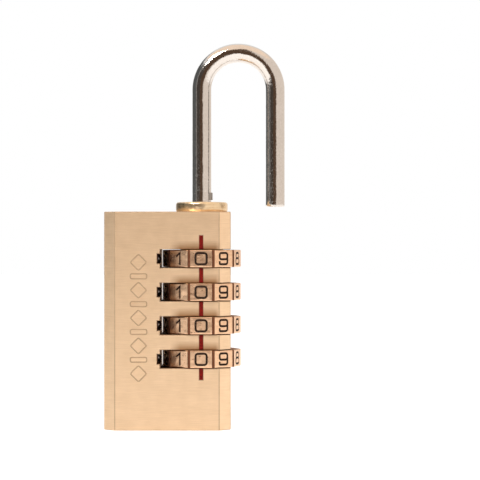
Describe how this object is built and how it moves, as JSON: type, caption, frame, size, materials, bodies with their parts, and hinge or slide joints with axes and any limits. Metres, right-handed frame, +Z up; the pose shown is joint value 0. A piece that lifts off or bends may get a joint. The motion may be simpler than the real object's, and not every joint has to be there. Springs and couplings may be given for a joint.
{
  "type": "combination padlock",
  "caption": "Brass combination padlock with turning digit dials and a chromed steel shackle, shown open with the shackle lifted and swung out.",
  "frame": {"origin": "middle of the case's bottom face", "axes": "+Z up, from the case's bottom to the shackle's crown; -Y is the front face with the index line; +X is the side that the dials stand out from"},
  "size_m": [0.0301, 0.0126, 0.0645],
  "materials": {
    "case_brass": "fine horizontal brushing, satin, warm pinkish brass",
    "collar_brass": "polished yellow brass",
    "dial_brass": "satin facets with bright bevels, pinkish brass",
    "chrome": "bright chrome over a lightly textured rod",
    "sleeve_brass": "as machined",
    "spring_steel": "oiled spring steel",
    "index_paint": "dark red enamel in the index groove",
    "digit_paint": "dark brown black fill in the engraved digits"
  },
  "bodies": {
    "case": {"case": "case_brass", "collar": "collar_brass", "detent_spring_1": "spring_steel", "detent_spring_2": "spring_steel", "detent_spring_3": "spring_steel", "detent_spring_4": "spring_steel", "shackle_spring": "spring_steel", "reset_spring": "spring_steel"},
    "shackle_slider": {"spring_cap": "spring_steel"},
    "shackle": {"shackle": "chrome"},
    "reset_carriage": {"pressure_ring": "spring_steel", "spring_seat": "spring_steel"},
    "dial_1": {"dial_1": "dial_brass"},
    "clutch_1": {"clutch_1": "sleeve_brass"},
    "detent_ball_1": {"detent_ball_1": "spring_steel"},
    "dial_2": {"dial_2": "dial_brass"},
    "clutch_2": {"clutch_2": "sleeve_brass"},
    "detent_ball_2": {"detent_ball_2": "spring_steel"},
    "dial_3": {"dial_3": "dial_brass"},
    "clutch_3": {"clutch_3": "sleeve_brass"},
    "detent_ball_3": {"detent_ball_3": "spring_steel"},
    "dial_4": {"dial_4": "dial_brass"},
    "clutch_4": {"clutch_4": "sleeve_brass"},
    "detent_ball_4": {"detent_ball_4": "spring_steel"}
  },
  "joints": [
    {"name": "shackle_lift", "type": "slide", "parent": "case", "child": "shackle_slider", "axis": [0, 0, 1], "range_m": [-0.0055, 0], "stiffness_N_per_m": 150, "springref_m": 0.002, "deforming": ["shackle_spring"]},
    {"name": "shackle_swing", "type": "hinge", "parent": "shackle_slider", "child": "shackle", "pos_m": [0.00565, 0, 0.0375], "axis": [0, 0, 1], "range_deg": [-180, 180]},
    {"name": "reset_press", "type": "slide", "parent": "case", "child": "reset_carriage", "axis": [0, 0, 1], "range_m": [-0.0009, 0], "stiffness_N_per_m": 300, "springref_m": 0.001, "deforming": ["reset_spring"]},
    {"name": "dial_1_turn", "type": "hinge", "parent": "case", "child": "dial_1", "pos_m": [0.00565, 0, 0.02842], "axis": [0, 0, 1], "continuous": true},
    {"name": "clutch_1_turn", "type": "hinge", "parent": "reset_carriage", "child": "clutch_1", "pos_m": [0.00565, 0, 0.02842], "axis": [0, 0, 1], "continuous": true},
    {"name": "detent_ball_1_press", "type": "slide", "parent": "case", "child": "detent_ball_1", "axis": [1, 0, 0], "range_m": [-0.0003, 0], "stiffness_N_per_m": 20},
    {"name": "dial_2_turn", "type": "hinge", "parent": "case", "child": "dial_2", "pos_m": [0.00565, 0, 0.02288], "axis": [0, 0, 1], "continuous": true},
    {"name": "clutch_2_turn", "type": "hinge", "parent": "reset_carriage", "child": "clutch_2", "pos_m": [0.00565, 0, 0.02288], "axis": [0, 0, 1], "continuous": true},
    {"name": "detent_ball_2_press", "type": "slide", "parent": "case", "child": "detent_ball_2", "axis": [1, 0, 0], "range_m": [-0.0003, 0], "stiffness_N_per_m": 20},
    {"name": "dial_3_turn", "type": "hinge", "parent": "case", "child": "dial_3", "pos_m": [0.00565, 0, 0.01734], "axis": [0, 0, 1], "continuous": true},
    {"name": "clutch_3_turn", "type": "hinge", "parent": "reset_carriage", "child": "clutch_3", "pos_m": [0.00565, 0, 0.01734], "axis": [0, 0, 1], "continuous": true},
    {"name": "detent_ball_3_press", "type": "slide", "parent": "case", "child": "detent_ball_3", "axis": [1, 0, 0], "range_m": [-0.0003, 0], "stiffness_N_per_m": 20},
    {"name": "dial_4_turn", "type": "hinge", "parent": "case", "child": "dial_4", "pos_m": [0.00565, 0, 0.0118], "axis": [0, 0, 1], "continuous": true},
    {"name": "clutch_4_turn", "type": "hinge", "parent": "reset_carriage", "child": "clutch_4", "pos_m": [0.00565, 0, 0.0118], "axis": [0, 0, 1], "continuous": true},
    {"name": "detent_ball_4_press", "type": "slide", "parent": "case", "child": "detent_ball_4", "axis": [1, 0, 0], "range_m": [-0.0003, 0], "stiffness_N_per_m": 20}
  ],
  "couplings": [
    {"joint": "clutch_1_turn", "follows": "dial_1_turn", "ratio": 1},
    {"joint": "clutch_2_turn", "follows": "dial_2_turn", "ratio": 1},
    {"joint": "clutch_3_turn", "follows": "dial_3_turn", "ratio": 1},
    {"joint": "clutch_4_turn", "follows": "dial_4_turn", "ratio": 1}
  ]
}
